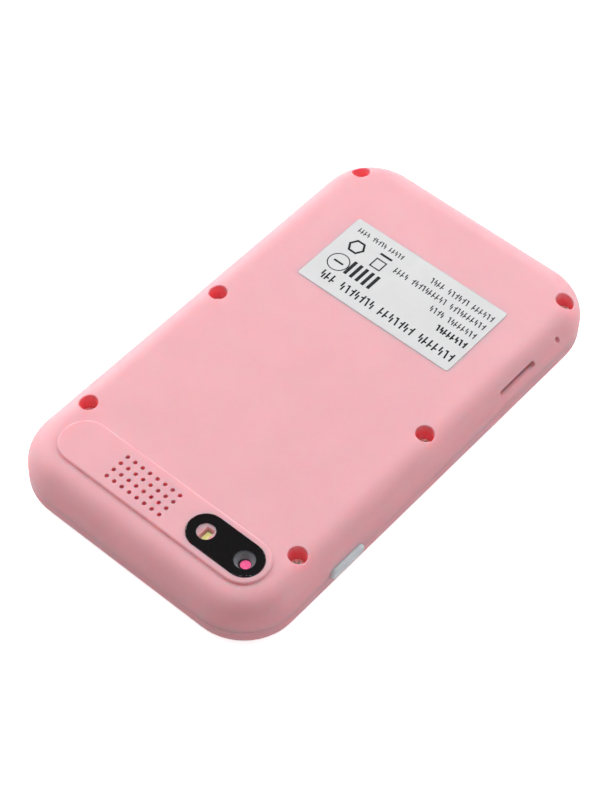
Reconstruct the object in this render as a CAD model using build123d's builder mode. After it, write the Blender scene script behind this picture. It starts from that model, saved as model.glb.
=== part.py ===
"""Toy cell phone, lying face down on its front lens.

Frame: +Z points out of the phone's back, +X out of the long side with the power button and the card
slot, +Y towards the charging end. The origin is the centre of the front lens's outer face, so z = 0 is
the surface that the phone rests on. Millimetres throughout.
"""

import os

from build123d import *

os.makedirs("parts", exist_ok=True)

# ---------------------------------------------------------------- driving dimensions: the case
BODY_W = 70.0  # across the phone, along X
BODY_L = 119.6  # along the phone, along Y
CORNER_R = 13.2  # corner radius of the outline
BACK_Z = 13.0  # the flat back of the rear cover
FACE_Z = 0.15  # the front cover's face, just behind the lens's face
PARTING_Z = 5.6  # where the two covers meet
PARTING_CHAMFER = 0.08  # makes the fine groove along the parting line
BACK_EDGE_R = 5.9
FRONT_EDGE_R = 3.5
WALL = 2.0  # side walls
BACK_WALL = 1.8
BACK_INNER_Z = BACK_Z - BACK_WALL
INNER_EDGE_R = 4.2
FRONT_PLATE_Z = 2.6  # inner face of the front cover's plate
LIP_T = 0.8  # the front cover's lip, which stands inside the rear cover
LIP_TOP_Z = 6.8
LIP_GAP = 0.06

# ---------------------------------------------------------------- case screws and their posts
SCREW_X = 29.4
SCREW_ROWS = (-38.8, 2.3, 51.7)
SCREW_POINTS = [(side * SCREW_X, row) for row in SCREW_ROWS for side in (-1, 1)]
WELL_D = 4.2
SEAT_Z = 8.0  # floor of the well, under the screw head
SEAT_T = 1.4
REAR_POST_R = 3.3
RIB_W, RIB_T = 5.0, 1.6  # rib between a screw post and the side wall
RIB_PLACE = 1.09  # the rib's middle, as a share of the screw's x
FRONT_POST_R = 2.6
FRONT_POST_TOP_Z = SEAT_Z - SEAT_T - 0.02
SCREW_D = 2.0
SCREW_CLEARANCE_D = 2.5
PILOT_D = 2.04
SCREW_HEAD_D = 3.8
SCREW_HEAD_H = 1.3
SCREW_TIP_Z = 3.2

# ---------------------------------------------------------------- raised bar, speaker holes, camera window
BAR_Y = -47.15
BAR_L = 56.0
BAR_W = 11.6
BAR_RISE = 0.65
BAR_EDGE_R = 0.42
BAR_FOOT_R = 0.2
BAR_TOP_Z = BACK_Z + BAR_RISE
HOLE_PITCH = 2.115
HOLE_D = 1.0
HOLE_COLUMNS, HOLE_ROWS = 8, 4
SPEAKER_X = -5.4
SPEAKER_Y = -47.3
LED_X = 11.96
LENS_X = 22.44
WINDOW_R = 4.3
WINDOW_GAP = 0.1
WINDOW_T = 0.6
WINDOW_TOP_Z = BAR_TOP_Z + 0.3  # the clear plate stands a little proud of the bar
PRINT_T = 0.08
GLUE_T = 0.12
WINDOW_SEAT_Z = WINDOW_TOP_Z - WINDOW_T - PRINT_T - GLUE_T
LED_EYE_D = 4.15  # clear spot in the window's black print, over the flash
LENS_EYE_D = 4.67  # clear spot over the camera
FLASH_X, FLASH_Y = 12.35, -47.45
LIGHT_WELL_W, LIGHT_WELL_L = 2.1, 3.1  # oblong opening that the flash stands in
CAMERA_X, CAMERA_Y = 22.58, -47.03  # the camera stands a little off the middle of its clear spot
BAFFLE_D = 6.6

# ---------------------------------------------------------------- display end of the stack
LENS_W, LENS_L, LENS_R = 60.0, 110.0, 8.6
LENS_T = 1.0
LENS_POCKET_GAP = 0.15
LEDGE_Z = 1.2  # where the lens's glue meets the front cover
DISPLAY_W, DISPLAY_L = 50.0, 69.2
DISPLAY_Y = -5.0
PANEL_Z, PANEL_T = 1.22, 1.2
BACKLIGHT_T = 1.9
BACKLIGHT_TOP_Z = PANEL_Z + PANEL_T + BACKLIGHT_T

# ---------------------------------------------------------------- main circuit board
BOARD_Z, BOARD_T = 8.15, 1.0
BOARD_TOP_Z = BOARD_Z + BOARD_T
BOARD_X = 25.6  # the board's reach between the screw posts
BOARD_Y = 56.0
TAB_X = 31.3  # the board's tabs reach further, between the posts
COLUMN_X = 6.0  # inner edge of the column beside the battery
POST_POINTS = [(14.6, -53.2), (-21.4, -45.0), (21.4, 52.4), (-8.6, 52.4)]
POST_R = 2.1
BOARD_SCREW_D = 1.6
BOARD_SCREW_HEAD_D = 3.0

# ---------------------------------------------------------------- side button and switches
BUTTON_Y, BUTTON_Z = -29.75, BACK_Z - 6.9
BUTTON_L, BUTTON_H = 10.3, 2.8
BUTTON_PROUD = 0.8
BUTTON_GAP = 0.1
POWER_FACE_X = 29.6  # the power switch's face, which its plunger stands out of
RESET_Y, RESET_Z = 43.2, BACK_Z - 2.85
RESET_FACE_X = 30.2
PIN_HOLE_D = 1.2

# ---------------------------------------------------------------- card, charging socket, microphone
CARD_Y, CARD_Z = 28.9, BACK_Z - 2.95
SLOT_L, SLOT_H = 12.0, 1.2
CARD_L, CARD_W, CARD_T = 15.0, 11.0, 0.7
CARD_END_X = 33.0
SOCKET_X0, SOCKET_X1 = 16.4, 31.0
SOCKET_W, SOCKET_H = 14.4, 1.75
USB_Z = 6.85
USB_W, USB_H, USB_DEPTH = 7.5, 2.6, 5.7
USB_MOUTH_Y = BODY_L / 2 - 0.9
USB_GAP = 0.6
MIC_X, MIC_D = 13.0, 2.6

# ---------------------------------------------------------------- battery and label
BATTERY_X, BATTERY_Y = -10.6, 7.0
BATTERY_W, BATTERY_L, BATTERY_T = 30.0, 60.0, 5.0
BATTERY_TAPE_T = 0.3
BATTERY_Z = BACKLIGHT_TOP_Z + BATTERY_TAPE_T
LABEL_X, LABEL_Y = 1.25, 29.1
LABEL_W, LABEL_L, LABEL_T = 42.5, 21.5, 0.1


def save(piece, node):
    """Name a finished sub-part and write it as one STEP file."""
    piece.part.label = node
    export_step(piece.part, f"parts/{node}.step")


def is_mouth(edge, x, y):
    """True for an edge of the screw well at (x, y) where it opens to the outside."""
    middle = edge @ 0.5
    from_axis = ((middle.X - x) ** 2 + (middle.Y - y) ** 2) ** 0.5
    return abs(from_axis - WELL_D / 2) < 0.02 and edge.bounding_box().min.Z > SEAT_Z + 0.5


def is_slot_rim(edge):
    """True for an edge of the card slot or the pin hole where it opens to the outside."""
    middle, box = edge @ 0.5, edge.bounding_box()
    slack = 0.05
    for y, z, width, height in (
        (CARD_Y, CARD_Z, SLOT_L, SLOT_H),
        (RESET_Y, RESET_Z, PIN_HOLE_D, PIN_HOLE_D),
    ):
        if abs(middle.Y - y) < width / 2 + slack and abs(middle.Z - z) < height / 2 + slack:
            runs_inwards = box.size.Y < 0.02 and box.size.Z < 0.02
            return middle.X > TAB_X + 2.0 and not runs_inwards
    return False


# ================================================================ rear cover
# The whole outside of the rear cover as one solid: flat back, well-rounded edge, raised bar.
with BuildPart() as rear_outer:
    with BuildSketch(Plane.XY.offset(PARTING_Z)):
        RectangleRounded(BODY_W, BODY_L, CORNER_R)
    extrude(amount=BACK_Z - PARTING_Z)
    fillet(rear_outer.faces().sort_by(Axis.Z)[-1].edges(), BACK_EDGE_R)
    chamfer(rear_outer.faces().sort_by(Axis.Z)[0].edges(), PARTING_CHAMFER)
    with BuildSketch(Plane.XY.offset(BACK_Z)):
        with Locations((0, BAR_Y)):
            SlotOverall(BAR_L, BAR_W)
    extrude(amount=BAR_RISE)
    fillet(rear_outer.faces().sort_by(Axis.Z)[-1].edges(), BAR_EDGE_R)
    bar_foot = rear_outer.edges().filter_by_position(Axis.Z, BACK_Z - 0.01, BACK_Z + 0.01)
    bar_foot = bar_foot.filter_by_position(Axis.Y, BAR_Y - BAR_W / 2 - 0.1, BAR_Y + BAR_W / 2 + 0.1)
    fillet(bar_foot.filter_by_position(Axis.X, -BAR_L / 2 - 0.1, BAR_L / 2 + 0.1), BAR_FOOT_R)

with BuildPart() as rear_hollow:
    with BuildSketch(Plane.XY.offset(PARTING_Z)):
        RectangleRounded(BODY_W - 2 * WALL, BODY_L - 2 * WALL, CORNER_R - WALL)
    extrude(amount=BACK_INNER_Z - PARTING_Z)
    fillet(rear_hollow.faces().sort_by(Axis.Z)[-1].edges(), INNER_EDGE_R)

# Screw posts with a rib to the side wall, the speaker's surround and the flash's light well,
# trimmed to the outside of the cover.
SURROUND_W, SURROUND_L, SURROUND_T = 22.0, 16.0, 0.8
with BuildPart() as rear_inside:
    with BuildSketch(Plane.XY.offset(SEAT_Z - SEAT_T)):
        with Locations(*SCREW_POINTS):
            Circle(REAR_POST_R)
        for side_x, row_y in SCREW_POINTS:
            with Locations((side_x * RIB_PLACE, row_y)):
                Rectangle(RIB_W, RIB_T)
    extrude(amount=BACK_Z - SEAT_Z)
    with BuildSketch(Plane.XY.offset(BACK_INNER_Z - 2.7)):
        with Locations((SPEAKER_X, SPEAKER_Y)):
            Rectangle(SURROUND_W, SURROUND_L)
            Rectangle(SURROUND_W - 2 * SURROUND_T, SURROUND_L - 2 * SURROUND_T, mode=Mode.SUBTRACT)
    extrude(amount=3.0)
    with BuildSketch(Plane.XY.offset(BACK_INNER_Z - 0.9)):
        with Locations((FLASH_X, FLASH_Y)):
            Rectangle(LIGHT_WELL_W + 1.6, LIGHT_WELL_L + 1.6)
    extrude(amount=1.2)
    add(rear_outer.part, mode=Mode.INTERSECT)

with BuildPart() as rear_cover:
    add(rear_outer.part)
    add(rear_hollow.part, mode=Mode.SUBTRACT)
    add(rear_inside.part)
    # deep screw wells, open to the back, and the screws' clearance holes through their floors
    with Locations(*[(x, y, SEAT_Z) for x, y in SCREW_POINTS]):
        Cylinder(WELL_D / 2, 8, align=(Align.CENTER, Align.CENTER, Align.MIN), mode=Mode.SUBTRACT)
        Cylinder(SCREW_CLEARANCE_D / 2, 6, mode=Mode.SUBTRACT)
    # speaker holes through the bar
    with BuildSketch(Plane.XY.offset(BACK_INNER_Z - 0.1)):
        with Locations((SPEAKER_X, SPEAKER_Y)):
            with GridLocations(HOLE_PITCH, HOLE_PITCH, HOLE_COLUMNS, HOLE_ROWS):
                Circle(HOLE_D / 2)
    extrude(amount=4, mode=Mode.SUBTRACT)
    # camera window: a seat in the bar, then the openings for the flash and the lens
    with BuildSketch(Plane.XY.offset(WINDOW_SEAT_Z)):
        with Locations(((LED_X + LENS_X) / 2, BAR_Y)):
            SlotCenterToCenter(LENS_X - LED_X, 2 * (WINDOW_R + WINDOW_GAP))
    extrude(amount=2, mode=Mode.SUBTRACT)
    with Locations((FLASH_X, FLASH_Y, BACK_INNER_Z)):
        Box(LIGHT_WELL_W, LIGHT_WELL_L, 5, mode=Mode.SUBTRACT)
    with Locations((LENS_X, BAR_Y, BACK_INNER_Z)):
        Cylinder(BAFFLE_D / 2 + 0.1, 5, mode=Mode.SUBTRACT)
    # card slot and pin hole through the shoulder of the +X side, and room for what stands behind them
    with BuildSketch(Plane.YZ.offset(TAB_X)):
        with Locations((CARD_Y, CARD_Z)):
            SlotOverall(SLOT_L, SLOT_H)
        with Locations((RESET_Y, RESET_Z)):
            Circle(PIN_HOLE_D / 2)
    extrude(amount=6, mode=Mode.SUBTRACT)
    for room_y, room_l, room_to_x, room_to_z in (
        (CARD_Y, SOCKET_W + 0.6, TAB_X + 0.2, BACK_INNER_Z - 0.15),
        (RESET_Y, 5.4, TAB_X + 0.1, BACK_INNER_Z),
    ):
        with Locations((room_to_x, room_y, BOARD_TOP_Z)):
            Box(
                12.6,
                room_l,
                2 * (room_to_z - BOARD_TOP_Z),
                align=(Align.MAX, Align.CENTER, Align.CENTER),
                mode=Mode.SUBTRACT,
            )
    # power button opening
    with BuildSketch(Plane.YZ.offset(BODY_W / 2 - WALL - 1)):
        with Locations((BUTTON_Y, BUTTON_Z)):
            SlotOverall(BUTTON_L + 2 * BUTTON_GAP, BUTTON_H + 2 * BUTTON_GAP)
    extrude(amount=5, mode=Mode.SUBTRACT)
    # charging socket and microphone openings in the +Y end
    with BuildSketch(Plane.XZ.offset(-(BODY_L / 2 - WALL - 1))):
        with Locations((0, USB_Z)):
            RectangleRounded(USB_W + 2 * USB_GAP, USB_H + 2 * USB_GAP, 1.0)
        with Locations((MIC_X, USB_Z)):
            Circle(0.5)
    extrude(amount=-5, mode=Mode.SUBTRACT)
    # soft mouths on the screw wells, the card slot and the pin hole
    for x, y in SCREW_POINTS:
        fillet([edge for edge in rear_cover.edges() if is_mouth(edge, x, y)], 0.18)
    fillet([edge for edge in rear_cover.edges() if is_slot_rim(edge)], 0.2)
save(rear_cover, "rear_cover")

# ================================================================ front cover
with BuildPart() as front_cover:
    with BuildSketch(Plane.XY.offset(FACE_Z)):
        RectangleRounded(BODY_W, BODY_L, CORNER_R)
    extrude(amount=PARTING_Z - FACE_Z)
    fillet(front_cover.faces().sort_by(Axis.Z)[0].edges(), FRONT_EDGE_R)
    chamfer(front_cover.faces().sort_by(Axis.Z)[-1].edges(), PARTING_CHAMFER)
    with BuildSketch(Plane.XY.offset(FRONT_PLATE_Z)):
        RectangleRounded(BODY_W - 2 * WALL, BODY_L - 2 * WALL, CORNER_R - WALL)
    extrude(amount=PARTING_Z, mode=Mode.SUBTRACT)
    # lip that locates the rear cover, broken at the posts
    with BuildSketch(Plane.XY.offset(FRONT_PLATE_Z)):
        lip_inset = 2 * (WALL + LIP_GAP)
        RectangleRounded(BODY_W - 2 * WALL, BODY_L - 2 * WALL, CORNER_R - WALL)
        RectangleRounded(
            BODY_W - lip_inset - 2 * LIP_T,
            BODY_L - lip_inset - 2 * LIP_T,
            CORNER_R - WALL - LIP_GAP - LIP_T,
            mode=Mode.SUBTRACT,
        )
    extrude(amount=PARTING_Z - 0.4 - FRONT_PLATE_Z)
    with BuildSketch(Plane.XY.offset(PARTING_Z - 0.4)):
        RectangleRounded(BODY_W - lip_inset, BODY_L - lip_inset, CORNER_R - WALL - LIP_GAP)
        RectangleRounded(
            BODY_W - lip_inset - 2 * LIP_T,
            BODY_L - lip_inset - 2 * LIP_T,
            CORNER_R - WALL - LIP_GAP - LIP_T,
            mode=Mode.SUBTRACT,
        )
        with Locations(*SCREW_POINTS):
            Circle(REAR_POST_R + 0.3, mode=Mode.SUBTRACT)
        for side_x, row_y in SCREW_POINTS:
            with Locations((side_x * RIB_PLACE, row_y)):
                Rectangle(RIB_W, RIB_T + 0.6, mode=Mode.SUBTRACT)
    extrude(amount=LIP_TOP_Z - PARTING_Z + 0.4)
    # screw posts and board posts; above the parting line they stay inside the rear cover's wall
    with BuildSketch(Plane.XY.offset(FRONT_PLATE_Z - 0.3)):
        with Locations(*SCREW_POINTS):
            Circle(FRONT_POST_R)
    extrude(amount=FRONT_POST_TOP_Z - FRONT_PLATE_Z + 0.3)
    with BuildSketch(Plane.XY.offset(FRONT_PLATE_Z - 0.3)):
        with Locations(*POST_POINTS):
            Circle(POST_R)
    extrude(amount=BOARD_Z - FRONT_PLATE_Z + 0.3)
    with BuildSketch(Plane.XY.offset(PARTING_Z)):
        RectangleRounded(BODY_W + 2, BODY_L + 2, CORNER_R)
        RectangleRounded(
            BODY_W - lip_inset,
            BODY_L - lip_inset,
            CORNER_R - WALL - LIP_GAP,
            mode=Mode.SUBTRACT,
        )
    extrude(amount=BOARD_Z - PARTING_Z, mode=Mode.SUBTRACT)
    for points, pilot_d, pilot_z in (
        (SCREW_POINTS, PILOT_D, SCREW_TIP_Z - 0.5),
        (POST_POINTS, BOARD_SCREW_D + 0.04, BOARD_Z - 4),
    ):
        with Locations(*[(x, y, pilot_z) for x, y in points]):
            Cylinder(pilot_d / 2, 5, align=(Align.CENTER, Align.CENTER, Align.MIN), mode=Mode.SUBTRACT)
    # lens pocket and the display's opening
    with BuildSketch(Plane.XY.offset(FACE_Z)):
        pocket_w = LENS_W + 2 * LENS_POCKET_GAP
        RectangleRounded(pocket_w, LENS_L + 2 * LENS_POCKET_GAP, LENS_R + LENS_POCKET_GAP)
    extrude(amount=LEDGE_Z - FACE_Z, mode=Mode.SUBTRACT)
    with BuildSketch(Plane.XY.offset(FACE_Z)):
        with Locations((0, DISPLAY_Y)):
            RectangleRounded(DISPLAY_W + 2.0, DISPLAY_L + 2.0, 1.5)
    extrude(amount=5, mode=Mode.SUBTRACT)
    # openings shared with the rear cover
    with BuildSketch(Plane.YZ.offset(BODY_W / 2 - WALL - 1.4)):
        with Locations((BUTTON_Y, BUTTON_Z)):
            SlotOverall(BUTTON_L + 2 * BUTTON_GAP, BUTTON_H + 2 * BUTTON_GAP)
    extrude(amount=5, mode=Mode.SUBTRACT)
    with Locations((BODY_W / 2 - WALL - 1.0, BUTTON_Y, BUTTON_Z)):
        Box(2.0, BUTTON_L + 4.2, 4.4, mode=Mode.SUBTRACT)
    with BuildSketch(Plane.XZ.offset(-(BODY_L / 2 - WALL - 1.4))):
        with Locations((0, USB_Z)):
            RectangleRounded(USB_W + 2 * USB_GAP, USB_H + 2 * USB_GAP, 1.0)
        with Locations((MIC_X, USB_Z)):
            Circle(0.5)
    extrude(amount=-5, mode=Mode.SUBTRACT)
save(front_cover, "front_cover")

# ================================================================ lens, touch film and display
with BuildPart() as cover_lens:
    with BuildSketch():
        RectangleRounded(LENS_W, LENS_L, LENS_R)
    extrude(amount=LENS_T)
    chamfer(cover_lens.faces().sort_by(Axis.Z)[0].edges(), 0.12)
save(cover_lens, "cover_lens")

with BuildPart() as lens_adhesive:
    with BuildSketch(Plane.XY.offset(LENS_T)):
        RectangleRounded(LENS_W - 0.6, LENS_L - 0.6, LENS_R - 0.3)
        with Locations((0, DISPLAY_Y)):
            Rectangle(DISPLAY_W + 2.4, DISPLAY_L + 2.4, mode=Mode.SUBTRACT)
    extrude(amount=LEDGE_Z - LENS_T)
save(lens_adhesive, "lens_adhesive")

with BuildPart() as touch_film:
    with BuildSketch(Plane.XY.offset(LENS_T)):
        with Locations((0, DISPLAY_Y)):
            Rectangle(DISPLAY_W + 1.6, DISPLAY_L + 1.6)
    extrude(amount=0.18)
save(touch_film, "touch_film")

with BuildPart() as display_panel:
    with BuildSketch(Plane.XY.offset(PANEL_Z)):
        with Locations((0, DISPLAY_Y)):
            Rectangle(DISPLAY_W, DISPLAY_L)
    extrude(amount=PANEL_T)
save(display_panel, "display_panel")

with BuildPart() as display_backlight:
    with BuildSketch(Plane.XY.offset(PANEL_Z + PANEL_T)):
        with Locations((0, DISPLAY_Y)):
            RectangleRounded(DISPLAY_W + 0.4, DISPLAY_L + 0.4, 0.6)
    extrude(amount=BACKLIGHT_T)
    with BuildSketch(Plane.XY.offset(BACKLIGHT_TOP_Z - 0.25)):
        with Locations((16.0, DISPLAY_Y + DISPLAY_L / 2 - 4)):
            Rectangle(14.0, 5.0)
    extrude(amount=0.25, mode=Mode.SUBTRACT)
save(display_backlight, "display_backlight")

# The display's ribbon leaves the panel's +Y edge, turns up and plugs in under the board.
FLEX_X, FLEX_W, FLEX_T = 15.8, 15.0, 0.15
FLEX_START_Y = DISPLAY_Y + DISPLAY_L / 2 + 0.25
with BuildPart() as display_flex:
    with BuildSketch(Plane.YZ.offset(FLEX_X - FLEX_W / 2)):
        with BuildLine() as flex_line:
            FilletPolyline(
                (FLEX_START_Y, 3.0),
                (FLEX_START_Y + 2.6, 3.0),
                (FLEX_START_Y + 2.6, BOARD_Z - 0.5),
                (FLEX_START_Y + 8.0, BOARD_Z - 0.5),
                radius=1.0,
            )
            offset(amount=FLEX_T, side=Side.LEFT)
        make_face()
    extrude(amount=FLEX_W)
save(display_flex, "display_flex")

with BuildPart() as display_connector:
    with Locations((FLEX_X, FLEX_START_Y + 10.0, BOARD_Z)):
        Box(FLEX_W + 3.0, 4.0, 1.0, align=(Align.CENTER, Align.CENTER, Align.MAX))
    chamfer(display_connector.edges().filter_by(Axis.X).group_by(Axis.Z)[0], 0.2)
save(display_connector, "display_connector")

# ================================================================ main circuit board
SPEAKER_NOTCH_W, SPEAKER_NOTCH_L = 24.0, 18.4
with BuildPart() as main_circuit_board:
    with BuildSketch(Plane.XY.offset(BOARD_Z)) as board_outline:
        with BuildLine():
            Polyline(
                (-BOARD_X, -52.0),
                (-BOARD_X + 4.0, -BOARD_Y),
                (BOARD_X - 4.0, -BOARD_Y),
                (BOARD_X, -52.0),
                (BOARD_X, BUTTON_Y - 5.0),
                (TAB_X - 0.6, BUTTON_Y - 5.0),
                (TAB_X - 0.6, BUTTON_Y + 5.0),
                (BOARD_X, BUTTON_Y + 5.0),
                (BOARD_X, 7.0),
                (TAB_X, 7.0),
                (TAB_X, 46.6),
                (BOARD_X, 46.6),
                (BOARD_X, 52.0),
                (BOARD_X - 4.0, BOARD_Y),
                (-13.0, BOARD_Y),
                (-13.0, 47.0),
                (COLUMN_X, 47.0),
                (COLUMN_X, -28.0),
                (-BOARD_X, -28.0),
                close=True,
            )
        make_face()
        fillet(board_outline.vertices(), 0.4)
        with Locations((SPEAKER_X, -BOARD_Y)):
            Rectangle(SPEAKER_NOTCH_W, 2 * (SPEAKER_NOTCH_L - 1.5), mode=Mode.SUBTRACT)
        with Locations((LENS_X, BAR_Y)):
            Rectangle(9.0, 9.0, mode=Mode.SUBTRACT)
        with Locations(*POST_POINTS):
            Circle(BOARD_SCREW_D / 2 + 0.15, mode=Mode.SUBTRACT)
    extrude(amount=BOARD_T)
save(main_circuit_board, "main_circuit_board")

# Chips: a body with a fine row of legs along two sides.
def chip(node, centre_x, centre_y, width, length, height, leg_count):
    """Write a chip on the board's +Z side: a body and legs down both long sides."""
    with BuildPart() as body:
        with Locations((centre_x, centre_y, BOARD_TOP_Z + 0.1)):
            Box(width, length, height, align=(Align.CENTER, Align.CENTER, Align.MIN))
        chamfer(body.faces().sort_by(Axis.Z)[-1].edges(), 0.15)
        with Locations((centre_x, centre_y, BOARD_TOP_Z)):
            with GridLocations(width + 0.6, length / leg_count, 2, leg_count):
                Box(1.2, 0.4, 0.3, align=(Align.CENTER, Align.CENTER, Align.MIN))
    save(body, node)


chip("processor_chip", 15.8, -8.0, 10.0, 10.0, 1.0, 12)
chip("memory_chip", 15.8, 10.0, 6.0, 8.0, 1.0, 4)

with BuildPart() as board_capacitors:
    capacitor_spots = [(9.0, -18.0), (12.5, -18.0), (16.0, -18.0), (19.5, -18.0), (9.0, 1.5), (22.5, 1.5)]
    with Locations(*[(x, y, BOARD_TOP_Z) for x, y in capacitor_spots]):
        Box(2.0, 1.2, 0.9, align=(Align.CENTER, Align.CENTER, Align.MIN))
save(board_capacitors, "board_capacitors")

# ================================================================ battery
with BuildPart() as battery_tape:
    with BuildSketch(Plane.XY.offset(BACKLIGHT_TOP_Z)):
        with Locations((BATTERY_X, BATTERY_Y - 8.0)):
            Rectangle(BATTERY_W - 6.0, BATTERY_L - 24.0)
    extrude(amount=BATTERY_TAPE_T)
save(battery_tape, "battery_tape")

with BuildPart() as battery_cell:
    with BuildSketch(Plane.XZ.offset(-(BATTERY_Y + BATTERY_L / 2))):
        with Locations((BATTERY_X, BATTERY_Z + BATTERY_T / 2)):
            RectangleRounded(BATTERY_W, BATTERY_T, 1.4)
    extrude(amount=BATTERY_L)
    with Locations((BATTERY_X, BATTERY_Y - BATTERY_L / 2, BATTERY_Z + BATTERY_T / 2)):
        Box(BATTERY_W - 2.0, 3.0, 2.6, align=(Align.CENTER, Align.MAX, Align.CENTER))
save(battery_cell, "battery_cell")

PLUG_X, PLUG_Y = -8.0, -33.2
with BuildPart() as battery_socket:
    with Locations((PLUG_X, PLUG_Y, BOARD_TOP_Z)):
        Box(6.4, 4.0, 1.9, align=(Align.CENTER, Align.CENTER, Align.MIN))
    with Locations((PLUG_X, PLUG_Y + 1.0, BOARD_TOP_Z + 0.35)):
        Box(5.4, 3.0, 1.2, align=(Align.CENTER, Align.CENTER, Align.MIN), mode=Mode.SUBTRACT)
save(battery_socket, "battery_socket")

with BuildPart() as battery_plug:
    with Locations((PLUG_X, PLUG_Y + 1.4, BOARD_TOP_Z + 0.4)):
        Box(5.2, 3.6, 1.1, align=(Align.CENTER, Align.CENTER, Align.MIN))
save(battery_plug, "battery_plug")

LEAD_D = 0.9
CELL_END_Y = BATTERY_Y - BATTERY_L / 2 - 3.0
for node, lead_x in (("battery_lead_red", PLUG_X - 1.3), ("battery_lead_black", PLUG_X + 1.3)):
    with BuildPart() as battery_lead:
        with BuildLine() as lead_path:
            FilletPolyline(
                (lead_x, CELL_END_Y, BATTERY_Z + BATTERY_T / 2),
                (lead_x, CELL_END_Y - 1.0, BATTERY_Z + BATTERY_T / 2),
                (lead_x, CELL_END_Y - 1.2, BOARD_TOP_Z + 0.95),
                (lead_x, PLUG_Y + 3.2, BOARD_TOP_Z + 0.95),
                radius=0.5,
            )
        with BuildSketch(Plane(origin=lead_path.line @ 0, z_dir=lead_path.line % 0)):
            Circle(LEAD_D / 2)
        sweep()
    save(battery_lead, node)

# ================================================================ speaker
SPEAKER_W, SPEAKER_L, SPEAKER_T = 20.0, 14.0, 3.8
GASKET_T = 0.5
SPEAKER_TOP_Z = BACK_INNER_Z - GASKET_T
with BuildPart() as speaker_gasket:
    with BuildSketch(Plane.XY.offset(SPEAKER_TOP_Z)):
        with Locations((SPEAKER_X, SPEAKER_Y)):
            RectangleRounded(SPEAKER_W - 0.4, SPEAKER_L - 0.4, 2.0)
            RectangleRounded(SPEAKER_W - 3.6, SPEAKER_L - 3.6, 1.4, mode=Mode.SUBTRACT)
    extrude(amount=GASKET_T)
    add(rear_hollow.part, mode=Mode.INTERSECT)
save(speaker_gasket, "speaker_gasket")

with BuildPart() as speaker_frame:
    with BuildSketch(Plane.XY.offset(SPEAKER_TOP_Z - SPEAKER_T)):
        with Locations((SPEAKER_X, SPEAKER_Y)):
            RectangleRounded(SPEAKER_W, SPEAKER_L, 2.2)
    extrude(amount=SPEAKER_T)
    with BuildSketch(Plane.XY.offset(SPEAKER_TOP_Z - 0.9)):
        with Locations((SPEAKER_X, SPEAKER_Y)):
            RectangleRounded(SPEAKER_W - 2.4, SPEAKER_L - 2.4, 1.6)
    extrude(amount=0.9, mode=Mode.SUBTRACT)
save(speaker_frame, "speaker_frame")

with BuildPart() as speaker_cone:
    with BuildSketch(Plane.XY.offset(SPEAKER_TOP_Z - 0.88)):
        with Locations((SPEAKER_X, SPEAKER_Y)):
            RectangleRounded(SPEAKER_W - 2.8, SPEAKER_L - 2.8, 1.4)
    extrude(amount=0.25)
    with BuildSketch(Plane.XY.offset(SPEAKER_TOP_Z - 0.65)):
        with Locations((SPEAKER_X, SPEAKER_Y)):
            RectangleRounded(SPEAKER_W - 6.0, SPEAKER_L - 6.0, 1.4)
    extrude(amount=0.45, taper=20)
save(speaker_cone, "speaker_cone")

with BuildPart() as speaker_leads:
    for side in (-1, 1):
        with BuildLine() as speaker_path:
            FilletPolyline(
                (SPEAKER_X + SPEAKER_W / 2, -43.0 + side * 0.8, 7.6),
                (SPEAKER_X + SPEAKER_W / 2 + 2.2, -43.0 + side * 0.8, 7.2),
                (SPEAKER_X + SPEAKER_W / 2 + 4.4 - side * 0.8, -37.0 + side * 0.4, 7.2),
                (SPEAKER_X + SPEAKER_W / 2 + 4.4 - side * 0.8, -36.0 + side * 0.4, BOARD_Z - 0.2),
                radius=0.5,
            )
        with BuildSketch(Plane(origin=speaker_path.line @ 0, z_dir=speaker_path.line % 0)):
            Circle(0.35)
        sweep()
save(speaker_leads, "speaker_leads")

# ================================================================ flash and camera
# The flash stands on a riser inside the light well, and its phosphor covers its whole face.
FLASH_TOP_Z = WINDOW_SEAT_Z - 1.5
FLASH_BASE_H = 0.55
FLASH_W, FLASH_L = LIGHT_WELL_W - 0.2, LIGHT_WELL_L - 0.2
FLASH_RIM = 0.08
EMITTER_T = 0.14
with BuildPart() as flash_riser:
    with Locations((FLASH_X, FLASH_Y, BOARD_TOP_Z)):
        Box(FLASH_W + 1.4, FLASH_L + 1.4, 0.9, align=(Align.CENTER, Align.CENTER, Align.MIN))
        Box(
            FLASH_W,
            FLASH_L,
            FLASH_TOP_Z - FLASH_BASE_H - BOARD_TOP_Z,
            align=(Align.CENTER, Align.CENTER, Align.MIN),
        )
save(flash_riser, "flash_riser")

with BuildPart() as flash_base:
    with Locations((FLASH_X, FLASH_Y, FLASH_TOP_Z)):
        Box(FLASH_W, FLASH_L, FLASH_BASE_H, align=(Align.CENTER, Align.CENTER, Align.MAX))
        Box(FLASH_W - 2 * FLASH_RIM, FLASH_L - 2 * FLASH_RIM, 2 * EMITTER_T, mode=Mode.SUBTRACT)
save(flash_base, "flash_base")

with BuildPart() as flash_emitter:
    with BuildSketch(Plane.XY.offset(FLASH_TOP_Z - EMITTER_T)):
        with Locations((FLASH_X, FLASH_Y)):
            Rectangle(FLASH_W - 2 * FLASH_RIM, FLASH_L - 2 * FLASH_RIM)
    extrude(amount=EMITTER_T)
    fillet(flash_emitter.faces().sort_by(Axis.Z)[-1].edges(), 0.06)
save(flash_emitter, "flash_emitter")

HOUSING_TOP_Z = 10.4
BARREL_TOP_Z = 11.58
with BuildPart() as camera_sensor_board:
    with Locations((CAMERA_X, CAMERA_Y, 5.6)):
        Box(8.6, 8.6, 0.6, align=(Align.CENTER, Align.CENTER, Align.MIN))
save(camera_sensor_board, "camera_sensor_board")

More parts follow.
